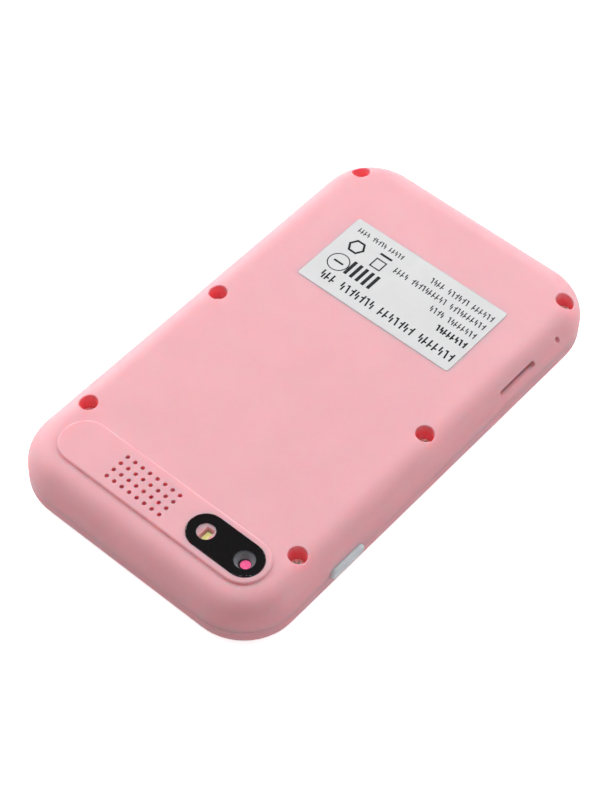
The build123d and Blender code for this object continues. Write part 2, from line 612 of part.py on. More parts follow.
with BuildPart() as camera_housing:
    with Locations((CAMERA_X, CAMERA_Y, 6.2)):
        Box(8.4, 8.4, HOUSING_TOP_Z - 6.2, align=(Align.CENTER, Align.CENTER, Align.MIN))
    fillet(camera_housing.edges().filter_by(Axis.Z), 0.8)
    chamfer(camera_housing.faces().sort_by(Axis.Z)[-1].edges(), 0.3)
    with Locations((CAMERA_X, CAMERA_Y, HOUSING_TOP_Z)):
        Cylinder(2.85, 6.0, mode=Mode.SUBTRACT)
save(camera_housing, "camera_housing")

# The barrel holds the lens flush with its top, inside the baffle's cone.
with BuildPart() as camera_barrel:
    with BuildSketch(Plane.XZ.offset(-CAMERA_Y)):
        with BuildLine():
            Polyline(
                (CAMERA_X + 0.8, 7.6),
                (CAMERA_X + 2.8, 7.6),
                (CAMERA_X + 2.8, BARREL_TOP_Z),
                (CAMERA_X + 1.15, BARREL_TOP_Z),
                (CAMERA_X + 1.15, BARREL_TOP_Z - 0.8),
                (CAMERA_X + 0.8, BARREL_TOP_Z - 0.8),
                close=True,
            )
        make_face()
    revolve(axis=Axis((CAMERA_X, CAMERA_Y, 0), (0, 0, 1)))
save(camera_barrel, "camera_barrel")

LENS_GLASS_R, LENS_GLASS_Z, LENS_GLASS_H, LENS_SAG = 1.13, BARREL_TOP_Z - 0.78, 0.76, 0.1
DOME_R = (LENS_GLASS_R**2 + LENS_SAG**2) / (2 * LENS_SAG)
with BuildPart() as camera_lens:
    with Locations((CAMERA_X, CAMERA_Y, LENS_GLASS_Z)):
        Cylinder(LENS_GLASS_R, LENS_GLASS_H, align=(Align.CENTER, Align.CENTER, Align.MIN))
    with Locations((CAMERA_X, CAMERA_Y, LENS_GLASS_Z + LENS_GLASS_H - DOME_R)):
        Sphere(DOME_R, mode=Mode.INTERSECT)
save(camera_lens, "camera_lens")

# Dark ring between the barrel and the window: two steps around a cone.
BAFFLE_TOP_Z = WINDOW_SEAT_Z - 0.02
BAFFLE_HOLE_R = 1.4
with BuildPart() as camera_baffle:
    with BuildSketch(Plane.XZ.offset(-BAR_Y)):
        with BuildLine():
            Polyline(
                (LENS_X + BAFFLE_HOLE_R, BARREL_TOP_Z + 0.03),
                (LENS_X + BAFFLE_D / 2, BARREL_TOP_Z + 0.03),
                (LENS_X + BAFFLE_D / 2, BAFFLE_TOP_Z),
                (LENS_X + 2.75, BAFFLE_TOP_Z),
                (LENS_X + 2.4, BAFFLE_TOP_Z - 0.5),
                (LENS_X + 2.1, BAFFLE_TOP_Z - 0.5),
                (LENS_X + BAFFLE_HOLE_R, BARREL_TOP_Z + 0.15),
                close=True,
            )
        make_face()
    revolve(axis=Axis((LENS_X, BAR_Y, 0), (0, 0, 1)))
save(camera_baffle, "camera_baffle")

# The camera's ribbon runs from its sensor board to a connector under the main board.
with BuildPart() as camera_flex:
    with BuildSketch(Plane.YZ.offset(CAMERA_X - 2.5)):
        with BuildLine():
            FilletPolyline(
                (CAMERA_Y + 4.3, 5.9),
                (CAMERA_Y + 6.6, 5.9),
                (CAMERA_Y + 6.6, BOARD_Z - 0.55),
                (CAMERA_Y + 11.0, BOARD_Z - 0.55),
                radius=0.6,
            )
            offset(amount=0.12, side=Side.LEFT)
        make_face()
    extrude(amount=5.0)
save(camera_flex, "camera_flex")

with BuildPart() as camera_connector:
    with Locations((CAMERA_X - 0.4, CAMERA_Y + 12.6, BOARD_Z)):
        Box(6.2, 3.2, 1.0, align=(Align.CENTER, Align.CENTER, Align.MAX))
save(camera_connector, "camera_connector")

# ================================================================ camera window
# A clear plate, black print behind it with two clear spots, and a ring of glue.
WINDOW_PLACE = ((LED_X + LENS_X) / 2, BAR_Y)
WINDOW_SPAN = LENS_X - LED_X
with BuildPart() as window_plate:
    with BuildSketch(Plane.XY.offset(WINDOW_TOP_Z - WINDOW_T)):
        with Locations(WINDOW_PLACE):
            SlotCenterToCenter(WINDOW_SPAN, 2 * WINDOW_R)
    extrude(amount=WINDOW_T)
    fillet(window_plate.faces().sort_by(Axis.Z)[-1].edges(), 0.2)
save(window_plate, "window_plate")

with BuildPart() as window_print:
    with BuildSketch(Plane.XY.offset(WINDOW_TOP_Z - WINDOW_T - PRINT_T)):
        with Locations(WINDOW_PLACE):
            SlotCenterToCenter(WINDOW_SPAN, 2 * WINDOW_R - 0.04)
        with Locations((LED_X, BAR_Y)):
            Circle(LED_EYE_D / 2, mode=Mode.SUBTRACT)
        with Locations((LENS_X, BAR_Y)):
            Circle(LENS_EYE_D / 2, mode=Mode.SUBTRACT)
    extrude(amount=PRINT_T)
save(window_print, "window_print")

with BuildPart() as window_adhesive:
    with BuildSketch(Plane.XY.offset(WINDOW_SEAT_Z)):
        with Locations(WINDOW_PLACE):
            SlotCenterToCenter(WINDOW_SPAN, 2 * WINDOW_R - 0.3)
        with Locations((LED_X, BAR_Y)):
            Circle(LED_EYE_D / 2 + 0.5, mode=Mode.SUBTRACT)
        with Locations((LENS_X, BAR_Y)):
            Circle(BAFFLE_D / 2 + 0.1, mode=Mode.SUBTRACT)
    extrude(amount=GLUE_T)
save(window_adhesive, "window_adhesive")

# ================================================================ power button and switches
INNER_X = BODY_W / 2 - WALL
PRESS_GAP = 0.05  # air between the button's foot and the plunger
PLUNGER_OUT = 1.3
with BuildPart() as power_button:
    with BuildSketch(Plane.YZ.offset(INNER_X - 0.9)):
        with Locations((BUTTON_Y, BUTTON_Z)):
            SlotOverall(BUTTON_L, BUTTON_H)
    extrude(amount=BODY_W / 2 + BUTTON_PROUD - INNER_X + 0.9)
    fillet(power_button.faces().sort_by(Axis.X)[-1].edges(), 0.6)
    with BuildSketch(Plane.YZ.offset(INNER_X - 1.1)):
        with Locations((BUTTON_Y, BUTTON_Z)):
            RectangleRounded(BUTTON_L + 2.2, BUTTON_H + 1.0, 0.8)
    extrude(amount=0.8)
    with BuildSketch(Plane.YZ.offset(INNER_X - 1.1)):
        with Locations((BUTTON_Y, BUTTON_Z)):
            Circle(1.1)
    extrude(amount=-(INNER_X - 1.1 - POWER_FACE_X - PLUNGER_OUT - PRESS_GAP))
save(power_button, "power_button")

with BuildPart() as power_switch:
    with Locations((POWER_FACE_X, BUTTON_Y, BOARD_Z)):
        Box(3.4, 6.0, 3.5, align=(Align.MAX, Align.CENTER, Align.MAX))
    with Locations((POWER_FACE_X, BUTTON_Y, BUTTON_Z)):
        Box(2.0, 2.9, 1.7, mode=Mode.SUBTRACT)
save(power_switch, "power_switch")

with BuildPart() as power_plunger:
    with Locations((POWER_FACE_X - 0.45, BUTTON_Y, BUTTON_Z)):
        Box(PLUNGER_OUT + 0.45, 2.6, 1.4, align=(Align.MIN, Align.CENTER, Align.CENTER))
    fillet(power_plunger.faces().sort_by(Axis.X)[-1].edges(), 0.2)
save(power_plunger, "power_plunger")

with BuildPart() as reset_switch:
    with Locations((RESET_FACE_X, RESET_Y, BOARD_TOP_Z)):
        Box(3.5, 4.6, 1.8, align=(Align.MAX, Align.CENTER, Align.MIN))
    with Locations((RESET_FACE_X, RESET_Y, RESET_Z)):
        Box(1.4, 1.9, 1.1, mode=Mode.SUBTRACT)
save(reset_switch, "reset_switch")

with BuildPart() as reset_plunger:
    with Locations((RESET_FACE_X - 0.35, RESET_Y, RESET_Z)):
        Box(1.15, 1.6, 0.8, align=(Align.MIN, Align.CENTER, Align.CENTER))
    fillet(reset_plunger.faces().sort_by(Axis.X)[-1].edges(), 0.15)
save(reset_plunger, "reset_plunger")

# ================================================================ memory card and its socket
CARD_ROOM = 0.3
with BuildPart() as card_socket:
    with Locations((SOCKET_X0, CARD_Y, BOARD_TOP_Z)):
        Box(SOCKET_X1 - SOCKET_X0, SOCKET_W, SOCKET_H, align=(Align.MIN, Align.CENTER, Align.MIN))
    with Locations((SOCKET_X1 + 0.5, CARD_Y, CARD_Z)):
        Box(
            14.4,
            CARD_W + 2 * CARD_ROOM,
            CARD_T + 0.4,
            align=(Align.MAX, Align.CENTER, Align.CENTER),
            mode=Mode.SUBTRACT,
        )
    chamfer(card_socket.faces().sort_by(Axis.Z)[-1].edges().filter_by(Axis.X), 0.2)
save(card_socket, "card_socket")

# The card's outline has a notched corner, and a finger ridge across its outer end.
with BuildPart() as memory_card:
    with BuildSketch(Plane.XY.offset(CARD_Z - CARD_T / 2)):
        with BuildLine():
            Polyline(
                (CARD_END_X, CARD_Y - CARD_W / 2),
                (CARD_END_X, CARD_Y + CARD_W / 2),
                (CARD_END_X - 8.0, CARD_Y + CARD_W / 2),
                (CARD_END_X - 9.0, CARD_Y + CARD_W / 2 - 1.0),
                (CARD_END_X - CARD_L, CARD_Y + CARD_W / 2 - 1.0),
                (CARD_END_X - CARD_L, CARD_Y - CARD_W / 2),
                close=True,
            )
        make_face()
    extrude(amount=CARD_T)
    fillet(memory_card.edges().filter_by(Axis.Z).group_by(Axis.X)[-1], 0.6)
    fillet(memory_card.faces().sort_by(Axis.X)[-1].edges().filter_by(Axis.Y), 0.15)
save(memory_card, "memory_card")

# ================================================================ charging socket and microphone
with BuildPart() as usb_shell:
    with BuildSketch(Plane.XZ.offset(-USB_MOUTH_Y)):
        with Locations((0, USB_Z)):
            RectangleRounded(USB_W, USB_H, 0.6)
    extrude(amount=USB_DEPTH)
    with BuildSketch(Plane.XZ.offset(-USB_MOUTH_Y)):
        with Locations((0, USB_Z)):
            RectangleRounded(USB_W - 0.6, USB_H - 0.6, 0.4)
    extrude(amount=USB_DEPTH - 0.6, mode=Mode.SUBTRACT)
save(usb_shell, "usb_shell")

with BuildPart() as usb_tongue:
    with Locations((0, USB_MOUTH_Y - USB_DEPTH + 0.6, USB_Z + 0.25)):
        Box(4.6, 4.2, 0.6, align=(Align.CENTER, Align.MIN, Align.CENTER))
save(usb_tongue, "usb_tongue")

with BuildPart() as microphone:
    with BuildSketch(Plane.XZ.offset(-(BODY_L / 2 - WALL - 1.2))):
        with Locations((MIC_X, BOARD_Z - MIC_D / 2)):
            Circle(MIC_D / 2)
    extrude(amount=1.6)
save(microphone, "microphone")


# ================================================================ fasteners
def screws(node, points, seat_z, head_d, head_h, shank_d, tip_z):
    """One node of identical pan-head screws with cross recesses, heads towards the back."""
    with BuildPart() as screw:
        with BuildSketch(Plane.XZ):
            with BuildLine():
                Polyline(
                    (0, seat_z + head_h),
                    (0, tip_z),
                    (shank_d * 0.3, tip_z),
                    (shank_d / 2, tip_z + 0.5),
                    (shank_d / 2, seat_z),
                    (head_d / 2, seat_z),
                    (head_d / 2, seat_z + head_h * 0.45),
                )
                ThreePointArc(
                    (head_d / 2, seat_z + head_h * 0.45),
                    (head_d * 0.36, seat_z + head_h * 0.88),
                    (0, seat_z + head_h),
                )
            make_face()
        revolve(axis=Axis.Z)
        for turn in (0, 90):
            with Locations(Location((0, 0, seat_z + head_h), (0, 0, turn))):
                Box(head_d * 0.56, head_d * 0.13, head_h * 1.3, mode=Mode.SUBTRACT)
    with BuildPart() as group:
        with Locations(*[(x, y, 0) for x, y in points]):
            add(screw.part)
    save(group, node)


screws("case_screws", SCREW_POINTS, SEAT_Z, SCREW_HEAD_D, SCREW_HEAD_H, SCREW_D, SCREW_TIP_Z)
screws("board_screws", POST_POINTS, BOARD_TOP_Z, BOARD_SCREW_HEAD_D, 0.9, BOARD_SCREW_D, BOARD_Z - 3.4)

# ================================================================ label
with BuildPart() as back_label:
    with BuildSketch(Plane.XY.offset(BACK_Z)):
        with Locations((LABEL_X, LABEL_Y)):
            RectangleRounded(LABEL_W, LABEL_L, 0.5)
    extrude(amount=LABEL_T)
save(back_label, "back_label")
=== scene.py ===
"""Looks for the toy cell phone: it lies face down on its front lens, with its pink back up.

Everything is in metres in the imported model's own frame: +Z out of the back, +X out of the side with the
power button and the card slot, +Y towards the charging end. Sizes below are in millimetres unless a
name says otherwise, and MM turns them into metres.
"""

import bpy
import numpy as np
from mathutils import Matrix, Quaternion, Vector


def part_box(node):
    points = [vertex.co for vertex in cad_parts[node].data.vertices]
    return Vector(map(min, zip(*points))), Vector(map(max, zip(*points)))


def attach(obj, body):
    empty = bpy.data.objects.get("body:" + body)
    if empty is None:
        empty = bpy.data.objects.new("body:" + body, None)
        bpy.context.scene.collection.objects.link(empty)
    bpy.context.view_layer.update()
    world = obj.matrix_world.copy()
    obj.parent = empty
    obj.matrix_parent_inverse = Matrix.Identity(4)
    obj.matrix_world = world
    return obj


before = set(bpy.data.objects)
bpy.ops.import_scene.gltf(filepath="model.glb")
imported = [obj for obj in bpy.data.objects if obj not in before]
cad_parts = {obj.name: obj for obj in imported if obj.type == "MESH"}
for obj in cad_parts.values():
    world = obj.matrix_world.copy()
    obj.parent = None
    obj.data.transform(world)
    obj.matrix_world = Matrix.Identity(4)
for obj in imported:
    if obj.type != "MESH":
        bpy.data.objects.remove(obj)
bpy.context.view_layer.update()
MM = 0.001


# ================================================================ camera
# A long lens looks down at the back from beside the camera end, so the far end is hardly smaller than
# the near one. The camera is rolled by a hair about its own line of sight.
camera = bpy.data.objects.new("camera", bpy.data.cameras.new("camera"))
bpy.context.collection.objects.link(camera)
bpy.context.scene.camera = camera
camera_place = Vector((193.45, -238.84, 399.27)) * MM
camera_aim = Vector((5.32, -8.89, 13.0)) * MM
camera_roll_deg = 1.84
camera.location = camera_place
camera.rotation_mode = "QUATERNION"
camera.rotation_quaternion = (camera_aim - camera_place).to_track_quat("-Z", "Y") @ Quaternion(
    (0, 0, 1), np.radians(camera_roll_deg)
)
camera.data.sensor_width = 36.0
camera.data.lens = 101.87
camera.data.clip_start, camera.data.clip_end = 0.02, 20.0
bpy.context.scene.view_settings.view_transform = "Standard"


# ================================================================ table top and studio light
# A plain white table top, two wide soft boxes beyond the phone and on its left, a smaller one overhead, and
# three long strips low down, so that the phone's near walls fall off into shade. The room itself gives
# hardly any light, but the camera's own rays see it, and the table top, as brighter than they are.
def linear(colour):
    """The linear red, green, blue and alpha of an sRGB hex colour."""
    srgb = np.array([int(colour[i : i + 2], 16) for i in (1, 3, 5)]) / 255
    channels = np.where(srgb <= 0.04045, srgb / 12.92, ((srgb + 0.055) / 1.055) ** 2.4)
    return (*channels.tolist(), 1.0)


def add(tree, kind, inputs=None, **settings):
    """Add a shader node, set its properties, and set or link its inputs. Returns the node."""
    node = tree.nodes.new("ShaderNode" + kind)
    for name, value in settings.items():
        setattr(node, name, value)
    for name, value in (inputs or {}).items():
        if isinstance(value, bpy.types.NodeSocket):
            tree.links.new(value, node.inputs[name])
        else:
            node.inputs[name].default_value = value
    return node


def new_material(name, **constants):
    """A material with one Principled shader, whose constant inputs are given with _ for a space."""
    material = bpy.data.materials.new(name)
    material.use_nodes = True
    tree = material.node_tree
    tree.nodes.clear()
    inputs = {key.replace("_", " "): value for key, value in constants.items()}
    shader = add(tree, "BsdfPrincipled", inputs)
    add(tree, "OutputMaterial", {"Surface": shader.outputs[0]})
    return material, tree, shader


def grain(tree, size, detail=2.0, stretch=(1, 1, 1)):
    """Noise with features of a size in millimetres, on Object coordinates. A number over 1 in stretch packs
    them that many times closer along its axis."""
    place = add(tree, "TexCoord").outputs["Object"]
    scaled = add(tree, "Mapping", {"Vector": place, "Scale": stretch}).outputs[0]
    noise = add(tree, "TexNoise", {"Vector": scaled, "Scale": 1 / (size * MM), "Detail": detail})
    return noise.outputs["Fac"]


def spread(tree, value, low, high, from_low=0.3, from_high=0.7):
    """The value, from one range, spread over the range low to high."""
    limits = {"From Min": from_low, "From Max": from_high, "To Min": low, "To Max": high}
    return add(tree, "MapRange", {"Value": value, **limits}).outputs[0]


def tint(tree, factor, first, second):
    """A colour between two hex colours."""
    blend = add(tree, "Mix", data_type="RGBA")
    tree.links.new(factor, blend.inputs[0])
    blend.inputs[6].default_value = linear(first)
    blend.inputs[7].default_value = linear(second)
    return blend.outputs[2]


def two_tones(tree, shader, size, first, second):
    """Colour a shader in two close tones, mixed by noise with features of a size in millimetres."""
    mixed = spread(tree, grain(tree, size), 0.0, 1.0)
    tree.links.new(tint(tree, mixed, first, second), shader.inputs["Base Color"])


def bump(tree, height, depth, strength=1.0):
    """A normal for a height map whose value of 1 stands a depth in millimetres proud."""
    return add(tree, "Bump", {"Height": height, "Distance": depth * MM, "Strength": strength}).outputs[0]


# White-lacquered board: even, faintly mottled, no gloss worth seeing.
# It gives off light to the camera's own rays alone, so it looks whiter and its shadow thinner than the
# lamps make them. It lights nothing.
table_lacquer, tree, shader = new_material(
    "white_lacquered_board", Roughness=0.6, Specular_IOR_Level=0.1, Emission_Color=linear("#FFFFFF")
)
two_tones(tree, shader, 60.0, "#FAFAFA", "#FCFCFC")
TABLE_GLOW = 0.8
to_the_eye = add(tree, "LightPath").outputs["Is Camera Ray"]
tree.links.new(spread(tree, to_the_eye, 0.0, TABLE_GLOW, 0.0, 1.0), shader.inputs["Emission Strength"])
TABLE_REACH = 6.0
table_top = bpy.data.meshes.new("table_top")
reach = TABLE_REACH / 2
table_corners = [(-reach, -reach, 0), (reach, -reach, 0), (reach, reach, 0), (-reach, reach, 0)]
table_top.from_pydata(table_corners, [], [(0, 1, 2, 3)])
table = bpy.data.objects.new("table_top", table_top)
bpy.context.collection.objects.link(table)
table_top.materials.append(table_lacquer)

room = bpy.data.worlds.new("room")
bpy.context.scene.world = room
room.use_nodes = True
backdrop = room.node_tree.nodes["Background"]
backdrop.inputs["Color"].default_value = linear("#FFFFFF")
ROOM_LIGHT, ROOM_TO_THE_EYE = 0.05, 0.8
to_the_eye = add(room.node_tree, "LightPath").outputs["Is Camera Ray"]
room_strength = spread(room.node_tree, to_the_eye, ROOM_LIGHT, ROOM_TO_THE_EYE, 0.0, 1.0)
room.node_tree.links.new(room_strength, backdrop.inputs["Strength"])


def soft_box(name, place, aim, width, height, watts):
    """A rectangular soft light in metres, turned towards a point."""
    light = bpy.data.lights.new(name, "AREA")
    light.shape, light.size, light.size_y, light.energy = "RECTANGLE", width, height, watts
    lamp = bpy.data.objects.new(name, light)
    bpy.context.collection.objects.link(lamp)
    lamp.location = place
    lamp.rotation_mode = "QUATERNION"
    lamp.rotation_quaternion = (Vector(aim) - Vector(place)).to_track_quat("-Z", "Y")
    lamp.visible_camera = False
    return lamp


phone_middle = (0.0, 0.0, 0.01)
soft_box("far_soft_box", (0.0, 0.8, 0.7), phone_middle, 0.8, 0.5, 6.1)
soft_box("left_soft_box", (-0.8, 0.0, 0.7), phone_middle, 0.8, 0.5, 6.7)
soft_box("overhead_soft_box", (0.12, -0.1, 1.1), phone_middle, 0.5, 0.5, 3.0)
soft_box("far_strip", (0.0, 0.95, 0.25), phone_middle, 1.2, 0.35, 1.7)
soft_box("left_strip", (-0.95, 0.0, 0.25), phone_middle, 1.2, 0.35, 4.0)
soft_box("right_strip", (0.95, 0.0, 0.25), phone_middle, 1.2, 0.35, 1.9)


# ================================================================ rear cover
# The back half of the case: pink ABS, injection moulded in a mould with a fine matte texture. Thick pink
# plastic passes a little light. The deep holes are drawn a strong red, painted light that stands in for light
# coming through the plastic, and the walls a deeper pink, which is painted shade.
def dress(node, material):
    """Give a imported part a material, in place of the plain one that it came with."""
    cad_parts[node].material_slots[0].material = material


def math_node(tree, operation, first, second=0.0):
    """One sum on two values."""
    return add(tree, "Math", {0: first, 1: second}, operation=operation).outputs[0]


def place_mm(tree):
    """The x, y and z of the point, in millimetres, as three values."""
    place = add(tree, "TexCoord").outputs["Object"]
    scaled = add(tree, "VectorMath", {0: place, "Scale": 1 / MM}, operation="SCALE").outputs[0]
    return add(tree, "SeparateXYZ", {0: scaled}).outputs


def beyond_zero(tree, value):
    """The value, or zero where it is less."""
    return math_node(tree, "MAXIMUM", value, 0.0)


def length_of(tree, first, second):
    """The length of the diagonal of two values."""
    both = add(tree, "CombineXYZ", {0: first, 1: second}).outputs[0]
    return add(tree, "VectorMath", {0: both}, operation="LENGTH").outputs["Value"]


def under_skin(tree, edge_radius, edge_centre_z, outward):
    """How far a point lies under a cover's outer skin, in millimetres. The skin is a rounded outline whose
    edge is rounded once more: the distance from the outline's corner centre, and then from the edge's."""
    x, y, z = place_mm(tree)
    past_x = math_node(tree, "SUBTRACT", math_node(tree, "ABSOLUTE", x), CASE_W / 2 - CASE_CORNER_R)
    past_y = math_node(tree, "SUBTRACT", math_node(tree, "ABSOLUTE", y), CASE_L / 2 - CASE_CORNER_R)
    from_corner = length_of(tree, beyond_zero(tree, past_x), beyond_zero(tree, past_y))
    past_edge = math_node(tree, "SUBTRACT", from_corner, CASE_CORNER_R - edge_radius)
    rise = math_node(tree, "MULTIPLY", math_node(tree, "SUBTRACT", z, edge_centre_z), outward)
    from_edge = length_of(tree, beyond_zero(tree, past_edge), beyond_zero(tree, rise))
    return math_node(tree, "SUBTRACT", edge_radius, from_edge)


def inside(tree, value, centre, half):
    """1 where a value is within half of a centre, or 0."""
    return add(tree, "Math", {0: value, 1: centre, 2: half}, operation="COMPARE").outputs[0]


rear_low, rear_high = (np.array(corner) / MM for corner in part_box("rear_cover"))
CASE_W, CASE_L = rear_high[0] - rear_low[0], rear_high[1] - rear_low[1]
CASE_CORNER_R = 13.2
BACK_Z, BACK_EDGE_R = 13.0, 5.9
BAR_RISE = rear_high[2] - BACK_Z
FLASH_X, FLASH_Y = 12.35, -47.45
LIGHT_WELL_REACH_X, LIGHT_WELL_REACH_Y = 2.4, 2.6
CASE_DEPTH = 10.0  # more than any depth under the skin
WELL_OUTER_X = 31.6  # the screw wells reach no further out than this
GRILLE_X, GRILLE_Y, GRILLE_HALF_W, GRILLE_HALF_L = -5.4, -47.3, 8.2, 4.0


def moulded_pink(name, skin_depth, holes=None):
    """Pink ABS: pale on the back, a deeper pink down the walls, the same all round, which is painted shade,
    and red in the holes, painted light that stands in for light coming through the plastic; matte, with a
    fine even
    texture and a faint mottle. To the eye: soft broad shading, a pale bloom at a glancing angle, no clear
    reflection."""
    material, tree, shader = new_material(
        name,
        IOR=1.5,
        Specular_IOR_Level=0.25,
        Subsurface_Weight=1.0,
        Subsurface_Radius=(1.0, 0.16, 0.22),
        Subsurface_Scale=2.4 * MM,
    )
    depth = skin_depth(tree)
    # painted light: the red deep under the skin stands in for light that comes through the plastic
    red = spread(tree, depth, 0.0, 1.0, RED_FROM, RED_FULL)
    # a faint red glow deep in the wells stands in for light that comes through the plastic
    shader.inputs["Emission Color"].default_value = linear(RED_GLOW)
    tree.links.new(spread(tree, red, 0.0, GLOW_STRENGTH, 0.0, 1.0), shader.inputs["Emission Strength"])
    if holes:
        red = math_node(tree, "MAXIMUM", red, holes(tree))
    mottle = spread(tree, grain(tree, 9.0), 0.0, 1.0)
    z = place_mm(tree)[2]
    # painted shade: the walls are drawn a deeper pink from the shoulder down, all round
    painted_wall_shade = spread(tree, z, 0.0, 1.0, WALL_SHADE_FROM_Z, WALL_SHADE_FULL_Z)
    colour = tint(tree, mottle, PINK_SKIN[0], PINK_SKIN[1])
    for share, deeper in ((painted_wall_shade, PAINTED_SHADE_PINK), (red, PAINTED_THROUGH_LIGHT_RED)):
        mixed = add(tree, "Mix", data_type="RGBA")
        tree.links.new(share, mixed.inputs[0])
        tree.links.new(colour, mixed.inputs[6])
        mixed.inputs[7].default_value = linear(deeper)
        colour = mixed.outputs[2]
    tree.links.new(colour, shader.inputs["Base Color"])
    tree.links.new(spread(tree, grain(tree, 1.6), 0.42, 0.5), shader.inputs["Roughness"])
    # the mould's texture is about 0.05 mm; it is drawn at 0.4 mm so that it shows
    texture = bump(tree, grain(tree, 0.4, 3.0), 0.012, 0.5)
    tree.links.new(texture, shader.inputs["Normal"])
    return material


PINK_SKIN = ("#E9B0B7", "#ECB3BA")
# The walls' deeper pink is painted shade.
PAINTED_SHADE_PINK = "#E9A5AD"
# The holes' red is painted light, for light that comes through the plastic.
PAINTED_THROUGH_LIGHT_RED = "#FF7E86"
RED_FROM, RED_FULL = 0.15, 2.6  # the depths under the skin where the red starts, and is full
WALL_SHADE_FROM_Z, WALL_SHADE_FULL_Z = 11.5, 7.0
RED_GLOW, GLOW_STRENGTH = "#FF6068", 0.08
HOLE_RED = 0.3
HOLE_PINK_Z, HOLE_RED_Z = 0.1, 0.35  # below the bar's top, where the holes are still pink, and are red


def rear_skin_depth(tree):
    """Depth under the rear cover's skin, kept at the skin inside the flash's light well, and in the thin
    wall that the card slot and the pin hole go through. The painted red, which stands in for light through
    the plastic, follows it."""
    x, y, _ = place_mm(tree)
    depth = under_skin(tree, BACK_EDGE_R, BACK_Z - BACK_EDGE_R, 1.0)
    by_flash_x = inside(tree, x, FLASH_X, LIGHT_WELL_REACH_X)
    by_flash = math_node(tree, "MULTIPLY", by_flash_x, inside(tree, y, FLASH_Y, LIGHT_WELL_REACH_Y))
    pale = math_node(tree, "MAXIMUM", by_flash, inside(tree, x, CASE_W / 2, CASE_W / 2 - WELL_OUTER_X))
    return math_node(tree, "SUBTRACT", depth, math_node(tree, "MULTIPLY", pale, CASE_DEPTH))


def speaker_hole_walls(tree):
    """A part of the painted red, which stands in for light through the plastic, on the walls of the speaker's
    holes, a little under the bar's top.
    """
    x, y, z = place_mm(tree)
    near_x = inside(tree, x, GRILLE_X, GRILLE_HALF_W)
    near = math_node(tree, "MULTIPLY", near_x, inside(tree, y, GRILLE_Y, GRILLE_HALF_L))
    bar_top = BACK_Z + BAR_RISE
    redder = spread(tree, z, HOLE_RED, 0.0, bar_top - HOLE_RED_Z, bar_top - HOLE_PINK_Z)
    return math_node(tree, "MULTIPLY", near, redder)


dress("rear_cover", moulded_pink("moulded_pink_abs_back", rear_skin_depth, speaker_hole_walls))


# ================================================================ front cover
# The front half of the case, moulded in the same pink ABS. It holds the lens, and meets the rear cover
# at a fine groove round the sides.
FACE_Z, FRONT_EDGE_R = 0.15, 3.5


def front_skin_depth(tree):
    """Depth under the front cover's skin."""
    return under_skin(tree, FRONT_EDGE_R, FACE_Z + FRONT_EDGE_R, -1.0)


# Lying low, the front cover takes the walls' painted shade in full, a deeper pink all over, and the painted
# red where it lies deep under its skin.
dress("front_cover", moulded_pink("moulded_pink_abs_front", front_skin_depth))


# ================================================================ front lens and display
# A clear hard-coated acrylic lens with a printed border behind it, glued into the front cover, over the
# touch film and the display. The display is a glass cell on a white-backed light guide, and is off.
def clear_material(name, colour, ior, roughness, lit_through="#F7F7F7"):
    """A clear solid that light from the lamps goes straight through, so what is behind it is lit. The
    colour lit_through is what is left of that light behind it."""
    material, tree, shader = new_material(
        name, Base_Color=linear(colour), IOR=ior, Roughness=roughness, Transmission_Weight=1.0
    )
    lamp_ray = add(tree, "LightPath").outputs["Is Shadow Ray"]
    pass_on = add(tree, "BsdfTransparent", {"Color": linear(lit_through)}).outputs[0]
    mixed = add(tree, "MixShader", {0: lamp_ray, 1: shader.outputs[0], 2: pass_on}).outputs[0]
    tree.links.new(mixed, tree.nodes["Material Output"].inputs["Surface"])
    return material, tree, shader


# Hard-coated acrylic: clear, glossy, with the faintest waviness from moulding.
lens_acrylic, tree, shader = clear_material("hard_coated_acrylic", "#F7FAFA", 1.49, 0.02)
tree.links.new(bump(tree, grain(tree, 14.0), 0.01, 0.3), shader.inputs["Normal"])
dress("cover_lens", lens_acrylic)

# Acrylic foam tape: white, matte, slightly open-celled.
foam_tape, tree, shader = new_material("acrylic_foam_tape", IOR=1.47, Roughness=0.75)
two_tones(tree, shader, 0.5, "#D9D7D0", "#E8E6E0")
tree.links.new(bump(tree, grain(tree, 0.4), 0.02, 0.5), shader.inputs["Normal"])
for node in ("lens_adhesive", "battery_tape", "speaker_gasket", "window_adhesive"):
    dress(node, foam_tape)

# PET film with a conductive coat: clear, with a faint warm tint.
touch_film, tree, shader = clear_material("coated_pet_film", "#F4F1E6", 1.57, 0.06)
tree.links.new(bump(tree, grain(tree, 8.0), 0.005, 0.3), shader.inputs["Normal"])
dress("touch_film", touch_film)

# Screen-printed ink: dense black with the mesh's faint grain. On the lens's back it makes a border with
# an opening for the display.
window_ink, tree, shader = new_material(
    "screen_printed_black", IOR=1.5, Roughness=0.7, Specular_IOR_Level=0.0
)
two_tones(tree, shader, 0.3, "#343132", "#3A3738")


def rounded_loop(width, length, radius, centre, steps=12):
    """Points round a rounded rectangle, anticlockwise: each corner's centre, plus its radius turned
    through a quarter turn in equal steps."""
    corner = np.repeat(np.arange(4), steps + 1)
    angle = (corner + np.tile(np.arange(steps + 1) / steps, 4)) * np.pi / 2
    side_x, side_y = np.array((1, -1, -1, 1))[corner], np.array((1, 1, -1, -1))[corner]
    x = centre[0] + side_x * (width / 2 - radius) + radius * np.cos(angle)
    y = centre[1] + side_y * (length / 2 - radius) + radius * np.sin(angle)
    return np.stack((x, y), axis=-1)


